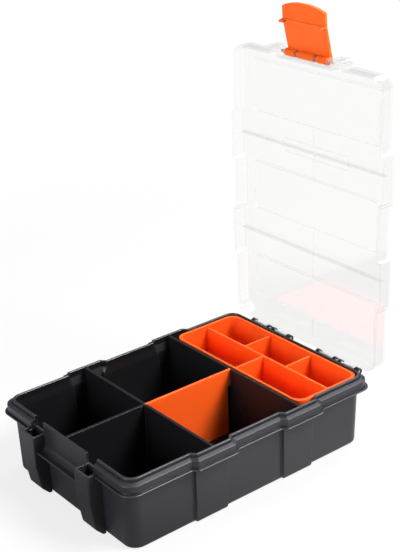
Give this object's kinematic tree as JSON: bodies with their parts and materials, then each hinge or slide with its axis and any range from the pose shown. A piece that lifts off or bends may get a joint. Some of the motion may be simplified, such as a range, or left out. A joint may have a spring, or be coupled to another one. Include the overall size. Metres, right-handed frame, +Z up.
{
  "type": "parts organiser case",
  "caption": "Small-parts case: dark open base with fixed cells, loose divider, lift-out tray, clear hinged lid standing open and a snap latch.",
  "frame": {"origin": "centre of the flat underside of the base", "axes": "+Z up, -Y towards the latch side, +Y towards the hinge, +X to the right seen from the latch side"},
  "size_m": [0.1618, 0.24, 0.3102],
  "materials": {
    "base": "fine satin texture",
    "insert": "smooth semi-gloss",
    "lid": "clear, slightly frosted",
    "pin": "drawn wire"
  },
  "bodies": {
    "base": {"tub": "base", "latch_mount": "base", "front_partition": "base", "rear_partition": "base", "hinge_pin_left": "pin", "hinge_pin_right": "pin"},
    "lid_body": {"lid": "lid", "latch_pin": "pin"},
    "latch_body": {"latch": "insert"},
    "tray_body": {"tray": "insert"},
    "divider_body": {"divider": "insert"}
  },
  "joints": [
    {"name": "lid_hinge", "type": "hinge", "parent": "base", "child": "lid_body", "pos_m": [0, 0.11105, 0.05115], "axis": [1, 0, 0], "range_deg": [0, 90]},
    {"name": "latch_hinge", "type": "hinge", "parent": "lid_body", "child": "latch_body", "pos_m": [0, 0.1169, 0.2731], "axis": [1, 0, 0], "range_deg": [-12, 76.5]},
    {"name": "tray_lift", "type": "slide", "parent": "base", "child": "tray_body", "axis": [0, 0, 1], "range_m": [0, 0.06]},
    {"name": "divider_lift", "type": "slide", "parent": "base", "child": "divider_body", "axis": [0, 0, 1], "range_m": [0, 0.08]}
  ]
}
